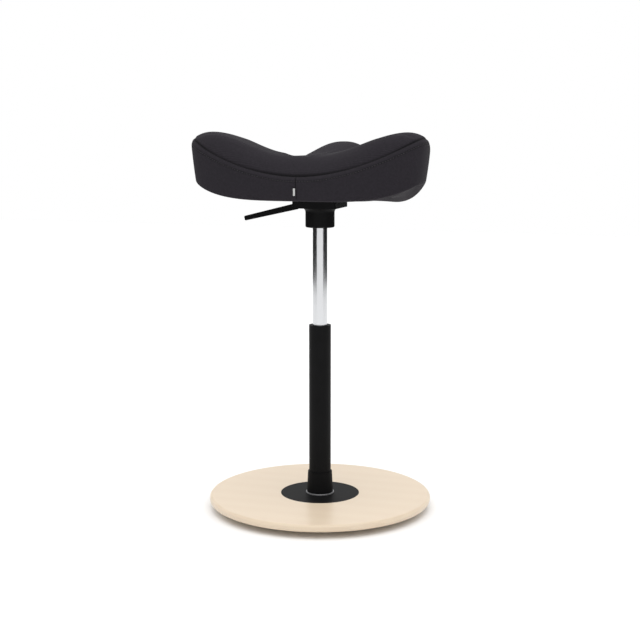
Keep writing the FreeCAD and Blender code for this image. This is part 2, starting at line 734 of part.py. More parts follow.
class SeatForm:
    """Outline and heights of the seat, drawn in all round by an inset."""

    def __init__(self, inset):
        self.inset = inset
        self.half_width = value("seat_half_width") - inset
        self.middle = -value("widest_station")
        self.rear = value("seat_rear") - inset + self.middle
        self.front = value("seat_front") - inset - self.middle
        self.ridge_station = -value("ridge_station")
        self.pommel_station = value("pommel_station")

    def stations(self):
        """The stations of the sections, from rear to front."""
        rear = [self.middle - self.rear * step for step in REAR_STEPS]
        return rear + [self.middle + self.front * step for step in FRONT_STEPS]

    def width_at(self, y):
        """Half the outline's width at a station."""
        if y < self.middle:
            share = (self.middle - y) / self.rear
            power = value("rear_power")
        else:
            share = (y - self.middle) / self.front
            power = value("front_power")
        return self.half_width * (1 - share ** power) ** (1 / power)

    def rear_outline(self, x):
        """The rear outline's station at a distance from the middle."""
        share = min(x / self.half_width, 1.0)
        power = value("rear_power")
        return self.middle - self.rear * (1 - share ** power) ** (1 / power)

    def rear_seam(self, x):
        """Height of the rear seam at a distance from the middle."""
        share = (x / self.half_width) ** SEAM_CURVE
        return mixed(value("rear_seam_rise"), value("side_seam_rise"), share)

    def seam_at(self, y):
        """Height of the seam between the top and the side band."""
        if y < self.middle:
            return self.rear_seam(self.width_at(y)) - self.inset
        drop = eased(y, self.middle, self.pommel_station * SEAM_DOWN)
        return mixed(value("side_seam_rise"), value("front_seam_rise"), drop) - self.inset

    def ridge_at(self, x):
        """Height of the ridge behind the hollow, which rises to the wings."""
        share = self.rising(x / (value("seat_half_width") * CREST_SHARE))
        return mixed(value("ridge_rise"), value("wing_rise"), share)

    def rising(self, share):
        """How far the top has come from its middle to its crest, as a share, along a smooth curve."""
        return eased(max(share, 0.0) ** TOP_CURVE, 0.0, 1.0)

    def middle_at(self, y):
        """Height of the top along the middle, forward of the ridge."""
        hollow = value("hollow_station")
        if y < hollow:
            share = eased(y, self.ridge_station, hollow)
            return mixed(value("ridge_rise"), value("hollow_rise"), share)
        if y < self.pommel_station:
            share = eased(y, hollow, self.pommel_station)
            return mixed(value("hollow_rise"), value("pommel_rise"), share)
        share = (y - self.pommel_station) / (value("seat_front") - self.pommel_station)
        return mixed(value("pommel_rise"), value("front_top_rise"), share ** 2)

    def top_at(self, x, y):
        """Height of the top between the middle and the crest of the shoulder."""
        x = abs(x)
        if y < self.ridge_station:
            outline = min(self.rear_outline(x), self.ridge_station - value("cut_margin"))
            share = min((self.ridge_station - y) / (self.ridge_station - outline), 1.0)
            seam = self.rear_seam(x)
            return seam + (self.ridge_at(x) - seam) * math.sqrt(1 - share * share) - self.inset
        crest = self.seam_at(y) + self.inset + value("crown_rise")
        full = eased(y, value("hollow_station"), self.pommel_station * POMMEL_FULL)
        half = mixed(self.width_at(y) * CREST_SHARE, value("pommel_half_width"), full)
        return mixed(self.middle_at(y), crest, self.rising(x / half)) - self.inset

    def under_edge(self, y):
        """Height of the lower edge of the side band."""
        wing = value("wing_under_rise")
        if y < self.middle:
            return wing * (self.width_at(y) / self.half_width) ** WING_CURVE + self.inset
        share = eased(y, self.pommel_station * EDGE_START, self.pommel_station * EDGE_DOWN)
        return mixed(wing, -value("flap_under_drop"), share) + self.inset

    def under_middle(self, y):
        """Height of the underside along the middle, which comes down in front of the board."""
        board = value("board_half_depth") + value("dust_cover_margin")
        start = max(self.pommel_station * UNDER_START, board + value("free_gap"))
        share = eased(y, start, self.pommel_station * UNDER_DOWN)
        return -value("flap_under_drop") * share + self.inset

    def section(self, y):
        """The closed outline across the seat at one station."""
        width = self.width_at(y)
        foot = width - value("side_draw") * min(1.0, width / FULL_DRAW_WIDTH)
        hollow = width * HOLLOW_SHARE
        crest = width * CREST_SHARE
        flat = min(value("flat_half_width"), width * FLAT_SHARE)
        hollow_point = (hollow, self.top_at(hollow, y))
        crest_point = (crest, self.top_at(crest, y))
        seam_point = (width, self.seam_at(y))
        foot_point = (foot, self.under_edge(y))
        under = self.under_middle(y)
        flat_point = (flat, under)
        between = (hollow + crest) / 2
        shoulder = (mixed(crest, width, SHOULDER_OUT),
                    mixed(crest_point[1], seam_point[1], SHOULDER_DOWN))
        side = ((width + foot) / 2 + value("side_bulge"), (seam_point[1] + foot_point[1]) / 2)
        slope = ((foot + flat) / 2, mixed(flat_point[1], foot_point[1], SLOPE_START))
        half = [
            (hollow_point, (between, self.top_at(between, y)), crest_point),
            (crest_point, shoulder, seam_point),
            (seam_point, side, foot_point),
            (foot_point, slope, flat_point),
        ]
        edges = [arc_edge(mirrored(hollow_point), (0, self.top_at(0, y)), hollow_point, y)]
        edges += [arc_edge(*points, y) for points in half]
        edges.append(arc_edge(flat_point, (0, under), mirrored(flat_point), y))
        for start, middle, end in reversed(half):
            edges.append(arc_edge(mirrored(end), mirrored(middle), mirrored(start), y))
        return Part.Wire(edges)

    def solid(self):
        """The whole form, standing on its flat underside."""
        sections = [self.section(y) for y in self.stations()]
        return Part.makeLoft(sections, True, False, False, LOFT_DEGREE)


def rounded_block(half_x, half_y, corner, low, high):
    """An upright block with rounded corners."""
    block = Part.makeBox(2 * half_x, 2 * half_y, high - low, FreeCAD.Vector(-half_x, -half_y, low))
    upright = [edge for edge in block.Edges if upright_edge(edge)]
    return block.makeFillet(corner, upright)


def soft_piece(name, shape):
    """A sub-part of the seat that stands on the mounting plate."""
    piece = doc.addObject("Part::Feature", name)
    piece.Shape = shape
    place(piece, z=SEAT_BOTTOM)
    return kept(piece, name)


def make_seat():
    gap = value("seat_gap")
    board = value("board_thickness")
    room = rounded_block(value("board_half_width") + gap, value("board_half_depth") + gap,
                         value("board_corner") + gap, -board,
                         board + value("nut_flange_thickness") + gap)
    thickness = value("cover_thickness")
    margin = value("dust_cover_margin") + gap
    beneath = rounded_block(value("board_half_width") + margin, value("board_half_depth") + margin,
                            value("board_corner") + gap, -value("dust_cover_thickness") - gap, 0.0)
    outer = SeatForm(0.0).solid().cut(beneath)
    lining = SeatForm(thickness).solid()
    soft_piece("seat_cover", outer.cut(lining.fuse(room)))
    soft_piece("seat_foam", lining.cut(room))


def make_seat_board():
    body = new_body("seat_board", SEAT_BOTTOM)
    outline = sketch_on(body, "XY_Plane")
    draw_rectangle(outline, "-board_half_width", "board_half_width", "-board_half_depth",
                   "board_half_depth")
    pad(body, outline, "board_thickness")
    round_edges(body, "board_corner", upright_edge)
    corner_holes(body, "nut_radius + press_gap")


def make_dust_cover():
    body = new_body("dust_cover", f"{SEAT_BOTTOM} - dust_cover_thickness")
    outline = sketch_on(body, "XY_Plane")
    half_x = "(board_half_width + dust_cover_margin)"
    half_y = "(board_half_depth + dust_cover_margin)"
    draw_rectangle(outline, f"-{half_x}", half_x, f"-{half_y}", half_y)
    pad(body, outline, "dust_cover_thickness")
    round_edges(body, "board_corner", upright_edge)
    window = sketch_on(body, "XY_Plane")
    hole_x = "(housing_width / 2 + seat_gap)"
    hole_y = "(housing_depth / 2 + seat_gap)"
    draw_rectangle(window, f"-{hole_x}", hole_x, f"-{hole_y}", hole_y)
    pocket(body, window)


def make_seam_tag():
    """A blank folded tag, sewn into the band seam at the middle of the rear edge."""
    rear_face = f"widest_station + (seat_rear - widest_station) * {REAR_STEPS[0]}"
    tag = doc.addObject("Part::Box", "seam_tag")
    tag.setExpression("Length", bound("tag_width"))
    tag.setExpression("Width", bound("tag_thickness"))
    tag.setExpression("Height", bound("tag_height"))
    place(tag, "-tag_width", f"-({rear_face}) - tag_thickness", f"{SEAT_BOTTOM} + tag_rise")
    kept(tag, "seam_tag")


make_base_disc()
make_rocker_ring()
make_base_flange()
make_under_plate()
make_base_screws()
make_stand_tube()
make_base_sleeve()
make_trim_ring()
make_guide_bush()
make_swivel_seat()
make_rod_clip()
make_piston_rod()
make_bump_stop()
make_piston()
make_pressure_tube()
make_tube_fittings()
make_release_pin()
make_lift_housing()
make_mount_plate()
make_seat_fixings()
make_lever()
make_lever_grip()
make_pivot_pin()
make_seat()
make_seat_board()
make_dust_cover()
make_seam_tag()
doc.recompute()

# Nothing is written unless every object and every shape is sound.
for item in doc.Objects:
    if "Invalid" in item.State or "Error" in item.State:
        raise RuntimeError(f"{item.Label} failed: {item.State}")
for piece in parts:
    if piece.Shape.isNull() or not piece.Shape.isValid():
        raise RuntimeError(f"{piece.Label} has no valid shape")
for piece in parts:
    piece.Shape.exportStep(f"parts/{piece.Label}.step")
print(len(parts), "sub-parts written")
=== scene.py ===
import math

import bmesh
import bpy
import numpy as np
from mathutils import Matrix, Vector, noise


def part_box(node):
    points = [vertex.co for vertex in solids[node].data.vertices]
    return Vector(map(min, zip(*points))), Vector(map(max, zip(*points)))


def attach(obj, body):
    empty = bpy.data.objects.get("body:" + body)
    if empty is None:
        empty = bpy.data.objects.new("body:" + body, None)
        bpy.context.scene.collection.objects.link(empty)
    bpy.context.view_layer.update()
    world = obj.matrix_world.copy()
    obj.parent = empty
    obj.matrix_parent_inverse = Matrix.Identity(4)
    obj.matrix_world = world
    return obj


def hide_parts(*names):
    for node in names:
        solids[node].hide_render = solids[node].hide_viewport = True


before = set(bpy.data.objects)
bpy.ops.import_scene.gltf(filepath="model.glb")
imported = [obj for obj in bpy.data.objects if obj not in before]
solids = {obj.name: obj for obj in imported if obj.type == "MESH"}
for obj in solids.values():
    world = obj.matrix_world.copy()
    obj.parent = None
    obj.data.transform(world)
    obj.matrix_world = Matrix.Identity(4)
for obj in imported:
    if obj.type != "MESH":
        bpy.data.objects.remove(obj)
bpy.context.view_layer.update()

# A perch stool: a saddle seat on a gas-lift column that stands in a round wooden rocking foot.
# Metres, +Z up. The seat's rear edge faces -Y and its pommel +Y.


# Wooden foot. A disc of pressed beech veneers, faced with pale ash and rounded at the rim, sealed
# with a clear satin lacquer: long faint fibres, soft growth bands and a low even shine.

def linear(code):
    """An sRGB hex colour as linear RGBA."""
    channels = [int(code[start:start + 2], 16) / 255 for start in (1, 3, 5)]
    return [c / 12.92 if c <= 0.04045 else ((c + 0.055) / 1.055) ** 2.4 for c in channels] + [1.0]


def add(tree, kind, wires=None, **settings):
    """Adds a node. wires gives each input socket a value or another node's output."""
    node = tree.nodes.new(kind)
    for name, setting in settings.items():
        setattr(node, name, setting)
    for key, source in (wires or {}).items():
        if isinstance(source, bpy.types.NodeSocket):
            tree.links.new(source, node.inputs[key])
        else:
            node.inputs[key].default_value = source
    return node


def new_finish(name, roughness, **sockets):
    """A material with its tree and shader. Sockets are named with _ for a space."""
    material = bpy.data.materials.new(name)
    material.use_nodes = True
    shader = material.node_tree.nodes["Principled BSDF"]
    shader.inputs["Roughness"].default_value = roughness
    for key, setting in sockets.items():
        shader.inputs[key.replace("_", " ")].default_value = setting
    return material, material.node_tree, shader


def wear(material, *names):
    """Gives CAD nodes this finish."""
    for name in names:
        for holder in solids[name].material_slots:
            holder.material = material


def ramp(tree, factor, stops):
    """A colour ramp between (position, hex) stops."""
    node = add(tree, "ShaderNodeValToRGB", {"Fac": factor})
    band = node.color_ramp.elements
    while len(band) < len(stops):
        band.new(0.5)
    for element, (position, code) in zip(band, stops):
        element.position = position
        element.color = linear(code)
    return node.outputs["Color"]


lacquered_ash, tree, shader = new_finish("lacquered_ash", 0.38, Coat_Weight=0.12, Coat_Roughness=0.2)
spot = add(tree, "ShaderNodeTexCoord").outputs["Object"]
# Fibres run along X: 1.2 mm apart across the grain and about 90 mm long.
along = add(tree, "ShaderNodeMapping", {"Vector": spot, "Scale": (11.0, 800.0, 90.0)}).outputs["Vector"]
fibres = add(tree, "ShaderNodeTexNoise", {"Vector": along, "Scale": 1.0, "Detail": 3.0, "Roughness": 0.6})
# Growth bands about 25 mm wide, bent into long arches.
arches = add(tree, "ShaderNodeMapping", {"Vector": spot, "Scale": (1.1, 6.5, 6.5),
                                         "Rotation": (0.0, 0.0, 0.05)}).outputs["Vector"]
growth = add(tree, "ShaderNodeTexWave", {"Vector": arches, "Scale": 1.0, "Distortion": 2.0, "Detail": 2.0,
                                         "Detail Scale": 0.8}, bands_direction="Y")
grain = add(tree, "ShaderNodeMix", {0: 0.75, 2: growth.outputs["Fac"], 3: fibres.outputs["Fac"]})
colour = ramp(tree, grain.outputs[0], [(0.2, "#DECAB1"), (0.5, "#E0CDB4"), (0.85, "#E2D0B8")])
tree.links.new(colour, shader.inputs["Base Color"])
relief = add(tree, "ShaderNodeBump", {"Height": fibres.outputs["Fac"], "Strength": 0.08,
                                      "Distance": 0.0004})
tree.links.new(relief.outputs["Normal"], shader.inputs["Normal"])
wear(lacquered_ash, "base_disc")


# Rocking ring under the foot: moulded black rubber, glued in a groove, matt and a little dusty.

def grained_black(name, code, light_code, roughness, grit, depth, **sockets):
    """A dark finish with fine grit: grit is the grain's size and depth its height, in metres."""
    material, tree, shader = new_finish(name, roughness, **sockets)
    spot = add(tree, "ShaderNodeTexCoord").outputs["Object"]
    grains = add(tree, "ShaderNodeTexNoise", {"Vector": spot, "Scale": 1 / grit, "Detail": 2.0})
    patches = add(tree, "ShaderNodeTexNoise", {"Vector": spot, "Scale": 40.0, "Detail": 2.0})
    blend = add(tree, "ShaderNodeMix", {0: 0.5, 2: grains.outputs["Fac"], 3: patches.outputs["Fac"]})
    colour = ramp(tree, blend.outputs[0], [(0.3, code), (0.7, light_code)])
    tree.links.new(colour, shader.inputs["Base Color"])
    relief = add(tree, "ShaderNodeBump", {"Height": grains.outputs["Fac"], "Strength": 0.5,
                                          "Distance": depth})
    tree.links.new(relief.outputs["Normal"], shader.inputs["Normal"])
    return material


moulded_rubber = grained_black("moulded_rubber", "#0F0F0F", "#161615", 0.85, 0.0012, 0.00015,
                               Specular_IOR_Level=0.2)
wear(moulded_rubber, "rocker_ring", "bump_stop", "piston_seal", "rod_seal")


# Flange, stand tube, lift housing and its plate: steel and cast aluminium under one black powder
# coat, with the fine orange peel that the melted powder leaves.

powder_coat = grained_black("powder_coat", "#0E0E0F", "#141415", 0.55, 0.0009, 0.00008,
                            Specular_IOR_Level=0.08)
wear(powder_coat, "base_flange", "stand_tube", "lift_housing", "mount_plate", "lever")


# Sleeve at the column's foot, guide bush, lever grip and the cover under the seat: black
# polypropylene and acetal, moulded with a fine spark-eroded grain.

moulded_plastic = grained_black("moulded_polypropylene", "#0C0C0D", "#111112", 0.55, 0.0007, 0.0001,
                                Specular_IOR_Level=0.08)
wear(moulded_plastic, "base_sleeve", "guide_bush", "lever_grip", "dust_cover", "piston", "ball_cage",
     "rod_guide")


# Pressure tube of the gas spring: hard chrome over a fine-ground tube, which spreads each
# reflection along the tube.

hard_chrome, tree, shader = new_finish("hard_chrome", 0.2, Metallic=1.0)
spot = add(tree, "ShaderNodeTexCoord").outputs["Object"]
# Grinding runs round the tube; 0.6 mm is coarser than the real marks, so that it shows at all.
rings = add(tree, "ShaderNodeMapping", {"Vector": spot, "Scale": (8.0, 8.0, 1600.0)}).outputs["Vector"]
grinding = add(tree, "ShaderNodeTexNoise", {"Vector": rings, "Scale": 1.0, "Detail": 2.0})
tint = ramp(tree, grinding.outputs["Fac"], [(0.3, "#D0D1D3"), (0.7, "#D8D9DB")])
tree.links.new(tint, shader.inputs["Base Color"])
matt = add(tree, "ShaderNodeMapRange", {"Value": grinding.outputs["Fac"], "To Min": 0.16, "To Max": 0.26})
tree.links.new(matt.outputs[0], shader.inputs["Roughness"])
wear(hard_chrome, "pressure_tube")


# Thin ring round the sleeve's foot: turned steel with a dull satin nickel plating.

satin_nickel, tree, shader = new_finish("satin_nickel", 0.4, Metallic=1.0)
spot = add(tree, "ShaderNodeTexCoord").outputs["Object"]
turning = add(tree, "ShaderNodeTexNoise", {"Vector": spot, "Scale": 300.0, "Detail": 2.0})
tree.links.new(ramp(tree, turning.outputs["Fac"], [(0.3, "#88888A"), (0.7, "#9A9A9C")]),
               shader.inputs["Base Color"])
wear(satin_nickel, "trim_ring")


# Screws, nuts, plate under the wood, bearing and valve: turned and pressed steel with a thin
# bright zinc plating, a little cloudy.

zinc_plate, tree, shader = new_finish("zinc_plated_steel", 0.32, Metallic=1.0)
spot = add(tree, "ShaderNodeTexCoord").outputs["Object"]
clouds = add(tree, "ShaderNodeTexNoise", {"Vector": spot, "Scale": 120.0, "Detail": 3.0})
tree.links.new(ramp(tree, clouds.outputs["Fac"], [(0.3, "#B4B6B8"), (0.7, "#C9CBCC")]),
               shader.inputs["Base Color"])
matt = add(tree, "ShaderNodeMapRange", {"Value": clouds.outputs["Fac"], "To Min": 0.25, "To Max": 0.42})
tree.links.new(matt.outputs[0], shader.inputs["Roughness"])
wear(zinc_plate, "base_screws", "under_plate", "rod_seat", "lower_race", "upper_race", "bearing_balls",
     "rod_clip", "piston_rod", "valve_block", "release_pin", "seat_screws", "tee_nuts", "pivot_pin")


# Seat board: raw birch plywood inside the seat, plies 1.5 mm thick.

raw_plywood, tree, shader = new_finish("raw_birch_plywood", 0.7)
spot = add(tree, "ShaderNodeTexCoord").outputs["Object"]
plies = add(tree, "ShaderNodeTexWave", {"Vector": spot, "Scale": 100.0, "Distortion": 0.4},
            bands_direction="Z")
tree.links.new(ramp(tree, plies.outputs["Fac"], [(0.3, "#B98F5E"), (0.7, "#D8B98C")]),
               shader.inputs["Base Color"])
wear(raw_plywood, "seat_board")


# Seat cushion. Moulded foam on the board, in a tight cover of charcoal wool cloth: one top panel,
# one band round the side with a seam at the middle of the back, and the cloth drawn under.
# Plan sizes in millimetres; heights are rises above the mounting plate.

HALF_WIDTH, REAR, FRONT, WIDEST = 222.0, 145.0, 196.0, 72.0
REAR_POWER, FRONT_POWER = 3.0, 1.75
REAR_SEAM, SIDE_SEAM, FRONT_SEAM = 45.0, 112.0, 51.0
RIDGE_STATION, RIDGE, WING, HOLLOW, HOLLOW_STATION = 101.0, 79.0, 122.0, 63.0, 20.0
POMMEL_STATION, POMMEL, POMMEL_HALF, CROWN = 165.0, 101.5, 108.0, 10.0
FRONT_TOP = 79.0
WING_UNDER, FLAP_UNDER, SIDE_DRAW, SIDE_BULGE = 31.0, -15.0, 7.0, 0.5
CREST_SHARE, FLAT_HALF, FLAT_SHARE = 0.84, 95.0, 0.64
# How late lines rise toward the sides: the rear seam, the top and the lower edge under the wings.
SEAM_CURVE, TOP_CURVE, WING_CURVE = 1.9, 1.25, 4.2
# Stations where the seam is down to the front's, where the pommel has its full width, and between
# which two the lower edge and the underside come down.
SEAM_DOWN, POMMEL_FULL = POMMEL_STATION * 0.75, 110.0
EDGE_START, EDGE_DOWN = -40.0, 145.0
UNDER_START, UNDER_DOWN = 91.0, 157.0
# The seam lies on top of the roll, 6 mm inside the widest line, which is 12 mm below it.
SEAM_INSET, ROLL_DROP = 6.0, 12.0
SIDE_SHOULDER, REAR_SHOULDER, SHOULDER_BLEND = 36.0, 44.0, 20.0
EDGE_RADIUS = 6.0
seat_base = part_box("mount_plate")[1][2] * 1000


def eased(station, start, end):
    """A smooth step from 0 at the start to 1 at the end."""
    share = np.clip((station - start) / (end - start), 0.0, 1.0)
    return share * share * (3 - 2 * share)


def mixed(low, high, share):
    """A value between two others."""
    return low + (high - low) * share


def width_at(y):
    """Half the seat's width at a station."""
    behind = y < -WIDEST
    share = np.where(behind, (-WIDEST - y) / (REAR - WIDEST), (y + WIDEST) / (FRONT + WIDEST))
    power = np.where(behind, REAR_POWER, FRONT_POWER)
    share = np.clip(share, 0.0, 0.9999)
    return HALF_WIDTH * (1 - share ** power) ** (1 / power)


def rear_seam(x):
    """Height of the rear seam at a distance from the middle."""
    return mixed(REAR_SEAM, SIDE_SEAM, (np.abs(x) / HALF_WIDTH) ** SEAM_CURVE)


def seam_rise(x, y):
    """Height of the seam at a point of the outline."""
    front = mixed(SIDE_SEAM, FRONT_SEAM, eased(y, -WIDEST, SEAM_DOWN))
    return np.where(y < -WIDEST, rear_seam(x), front)


def under_rise(x, y):
    """Height of the side band's lower edge at a point of the outline."""
    wing = WING_UNDER * (np.abs(x) / HALF_WIDTH) ** WING_CURVE
    flap = mixed(WING_UNDER, FLAP_UNDER, eased(y, EDGE_START, EDGE_DOWN))
    return np.where(y < -WIDEST, wing, flap)


def rising(share):
    """The curve of the top from its middle up to the crest at its side."""
    return eased(np.maximum(share, 0.0) ** TOP_CURVE, 0.0, 1.0)


def panel_rise(x, y):
    """Height of the top panel inside its shoulder."""
    x = np.abs(x)
    ridge = mixed(RIDGE, WING, rising(x / (HALF_WIDTH * CREST_SHARE)))
    hollow = mixed(RIDGE, HOLLOW, eased(y, -RIDGE_STATION, HOLLOW_STATION))
    climb = mixed(HOLLOW, POMMEL, eased(y, HOLLOW_STATION, POMMEL_STATION))
    saddle = np.where(y < HOLLOW_STATION, hollow, climb)
    fall = np.clip((y - POMMEL_STATION) / (FRONT - POMMEL_STATION), 0, 1) ** 2
    middle = mixed(saddle, FRONT_TOP, fall)
    side = mixed(SIDE_SEAM, FRONT_SEAM, eased(y, -WIDEST, SEAM_DOWN))
    side = np.where(y < -WIDEST, rear_seam(width_at(y)), side)
    half = mixed(width_at(y) * CREST_SHARE, POMMEL_HALF, eased(y, HOLLOW_STATION, POMMEL_FULL))
    front = mixed(middle, side + CROWN, rising(x / (half + 1e-6)))
    return np.where(y < -RIDGE_STATION, ridge, front)


# The outline as a radius for each direction about the middle, a little softened at the nose.
quarter = np.linspace(0, math.pi / 2, 400)
rear_x = HALF_WIDTH * np.sin(quarter) ** (2 / REAR_POWER)
rear_y = -WIDEST - (REAR - WIDEST) * np.cos(quarter) ** (2 / REAR_POWER)
front_x = HALF_WIDTH * np.cos(quarter) ** (2 / FRONT_POWER)
front_y = -WIDEST + (FRONT + WIDEST) * np.sin(quarter) ** (2 / FRONT_POWER)
side_x = np.concatenate([rear_x, front_x[1:]])
side_y = np.concatenate([rear_y, front_y[1:]])
bearing = np.arctan2(side_y, side_x)
compass = np.linspace(-math.pi / 2, math.pi / 2, 721)
reach = np.interp(compass, bearing, np.hypot(side_x, side_y))
BLUNT_REACH, BLUNT_SPREAD = 24, 9.0
blunt = np.exp(-0.5 * (np.arange(-BLUNT_REACH, BLUNT_REACH + 1) / BLUNT_SPREAD) ** 2)
blunt /= blunt.sum()
mirror_reach = np.concatenate([reach[BLUNT_REACH:0:-1], reach, reach[-2:-BLUNT_REACH - 2:-1]])
reach = np.convolve(mirror_reach, blunt, mode="valid")


def reach_at(angle):
    """The outline's distance from the middle in a direction."""
    folded = np.arcsin(np.clip(np.sin(angle), -1, 1))
    return np.interp(folded, compass, reach)


GRID = 80
step = np.linspace(-1, 1, GRID + 1)


def grid_index(i, j):
    return i * (GRID + 1) + j


# Order of the grid's border, counter-clockwise.
border = [grid_index(GRID, j) for j in range(GRID)]
border += [grid_index(i, GRID) for i in range(GRID, 0, -1)]
border += [grid_index(0, j) for j in range(GRID, 0, -1)]
border += [grid_index(i, 0) for i in range(GRID)]
a, b = np.meshgrid(step, step, indexing="ij")
disc_x = a * np.sqrt(1 - b * b / 2)
disc_y = b * np.sqrt(1 - a * a / 2)
disc_angle = np.arctan2(disc_y, disc_x).ravel()
disc_share = np.hypot(disc_x, disc_y).ravel()
ring_angle = disc_angle[border]
ring_reach = reach_at(ring_angle)
ring_x = ring_reach * np.cos(ring_angle)
ring_y = ring_reach * np.sin(ring_angle)
ring_seam = seam_rise(ring_x, ring_y)
ring_under = under_rise(ring_x, ring_y)


BATCH = 2000


def edge_distance(x, y):
    """Distance of plan points from the outline, worked out in batches."""
    gaps = []
    for start in range(0, len(x), BATCH):
        batch = slice(start, start + BATCH)
        away = np.hypot(x[batch, None] - ring_x, y[batch, None] - ring_y)
        gaps.append(away.min(axis=1))
    return np.concatenate(gaps)


def top_rise(x, y):
    """Height of the top panel, with its shoulder down to the seam."""
    angle = np.arctan2(y, x)
    rim = reach_at(angle)
    seam = seam_rise(rim * np.cos(angle), rim * np.sin(angle))
    forward = eased(y, -RIDGE_STATION - SHOULDER_BLEND, -RIDGE_STATION + SHOULDER_BLEND)
    shoulder = mixed(REAR_SHOULDER, SIDE_SHOULDER, forward)
    away = np.clip(edge_distance(x, y) / shoulder, 0, 1)
    start = np.sqrt(1 - (1 - SEAM_INSET / shoulder) ** 2)
    roll = (np.sqrt(1 - (1 - away) ** 2) - start) / (1 - start)
    return mixed(seam, panel_rise(x, y), roll)


def bottom_rise(x, y):
    """Height of the underside, which comes down in front of the board."""
    angle = np.arctan2(y, x)
    rim = reach_at(angle)
    edge = under_rise(rim * np.cos(angle), rim * np.sin(angle))
    width = width_at(y)
    foot = width - SIDE_DRAW
    flat = np.minimum(FLAT_HALF, width * FLAT_SHARE)
    out = np.clip((np.abs(x) - flat) / np.maximum(foot - flat, 1.0), 0, 1)
    middle = FLAP_UNDER * eased(y, UNDER_START, UNDER_DOWN)
    inner = mixed(middle, edge, out * (0.2 + 0.8 * out))
    near = 1 - np.clip((edge_distance(x, y) - SIDE_DRAW - EDGE_RADIUS) / 30.0, 0, 1)
    return mixed(inner, edge, near * near * (3 - 2 * near))


# Rows of points round the seat, from the top panel's inner ring down to the underside's.
TOP_ROWS = (22.0, 18.0, 14.0, 10.5, 7.5, 5.0, 3.2, 1.8, 0.8)
BAND_ROWS = (0.8, 1.8, 3.2, 5.0, 7.0, 9.0, 11.0, 14.0)
BAND_STEPS = 12
EDGE_STEPS = 6
UNDER_ROWS = (18.0, 26.0)
rows = []
row_kind = []
seam_reach = ring_reach - SEAM_INSET
for inset in TOP_ROWS:
    x = (seam_reach - inset) * np.cos(ring_angle)
    y = (seam_reach - inset) * np.sin(ring_angle)
    rows.append(np.column_stack([x, y, top_rise(x, y)]))
    row_kind.append("top")
seam_x, seam_y = seam_reach * np.cos(ring_angle), seam_reach * np.sin(ring_angle)
rows.append(np.column_stack([seam_x, seam_y, ring_seam]))
row_kind.append("seam")
SEAM_ROW = len(rows) - 1
band_foot = ring_under + EDGE_RADIUS
band_height = ring_seam - band_foot
drops = [np.full_like(band_height, drop) for drop in BAND_ROWS]
drops += [mixed(BAND_ROWS[-1], band_height, (n + 1) / BAND_STEPS) for n in range(BAND_STEPS)]
STITCH_ROW = SEAM_ROW + 1 + BAND_ROWS.index(9.0)
for drop in drops:
    share = np.clip((drop - ROLL_DROP) / (band_height - ROLL_DROP), 0, 1)
    roll = SEAM_INSET * np.clip(1 - drop / ROLL_DROP, 0, 1) ** 2
    out = ring_reach - roll - SIDE_DRAW * share + SIDE_BULGE * 4 * share * (1 - share)
    rows.append(np.column_stack([out * np.cos(ring_angle), out * np.sin(ring_angle), ring_seam - drop]))
    row_kind.append("band")
for n in range(1, EDGE_STEPS + 1):
    turned = math.pi / 2 * n / EDGE_STEPS
    out = ring_reach - SIDE_DRAW - EDGE_RADIUS * (1 - math.cos(turned))
    height = ring_under + EDGE_RADIUS * (1 - math.sin(turned))
    rows.append(np.column_stack([out * np.cos(ring_angle), out * np.sin(ring_angle), height]))
    row_kind.append("under")
for inset in UNDER_ROWS:
    out = ring_reach - SIDE_DRAW - inset
    x, y = out * np.cos(ring_angle), out * np.sin(ring_angle)
    rows.append(np.column_stack([x, y, bottom_rise(x, y)]))
    row_kind.append("under")


def inner_grid(margin, height):
    """A grid of points over the plan inside a margin from the outline."""
    span = disc_share * (reach_at(disc_angle) - margin)
    x, y = span * np.cos(disc_angle), span * np.sin(disc_angle)
    return np.column_stack([x, y, height(x, y)])


top_grid = inner_grid(SEAM_INSET + 26.0, top_rise)
bottom_grid = inner_grid(SIDE_DRAW + 36.0, bottom_rise)
ring_size = len(border)
points = np.vstack([top_grid] + rows + [bottom_grid])
row_start = [len(top_grid) + n * ring_size for n in range(len(rows))]
bottom_start = row_start[-1] + ring_size

faces, face_kind = [], []
for i in range(GRID):
    for j in range(GRID):
        corners = [grid_index(i, j), grid_index(i + 1, j), grid_index(i + 1, j + 1), grid_index(i, j + 1)]
        faces.append(corners)
        face_kind.append("top")
        faces.append([bottom_start + c for c in reversed(corners)])
        face_kind.append("under")
loops = [border] + [[start + n for n in range(ring_size)] for start in row_start]
loops.append([bottom_start + c for c in border])
loop_kind = ["top"] + row_kind + ["under"]
for upper, lower, kind in zip(loops, loops[1:], loop_kind[1:]):
    kind = "top" if kind == "seam" else kind
    for n in range(ring_size):
        after = (n + 1) % ring_size
        faces.append([upper[n], lower[n], lower[after], upper[after]])
        face_kind.append(kind)

points[:, 2] += seat_base
mesh = bpy.data.meshes.new("seat_cushion")
mesh.from_pydata((points / 1000).tolist(), [], faces)
mesh.polygons.foreach_set("use_smooth", [True] * len(faces))
cushion = bpy.data.objects.new("seat_cushion", mesh)
bpy.context.scene.collection.objects.link(cushion)

# Cloth coordinates in metres: plan for the panels, length round the seat and height for the band.
lengths = np.hypot(np.diff(ring_x, append=ring_x[0]), np.diff(ring_y, append=ring_y[0]))
round_length = np.concatenate([[0], np.cumsum(lengths)])
cloth_map = mesh.uv_layers.new(name="cloth")
flat_points = points / 1000
for polygon, kind in zip(mesh.polygons, face_kind):
    for place, loop in enumerate(polygon.loop_indices):
        vertex = polygon.vertices[place]
        x, y, z = flat_points[vertex]
        if kind == "band":
            n = (vertex - len(top_grid)) % ring_size
            wrapped = n == 0 and any((v - len(top_grid)) % ring_size > 2 for v in polygon.vertices)
            cloth_map.data[loop].uv = (round_length[ring_size if wrapped else n] / 1000, z)
        else:
            cloth_map.data[loop].uv = (x, y)

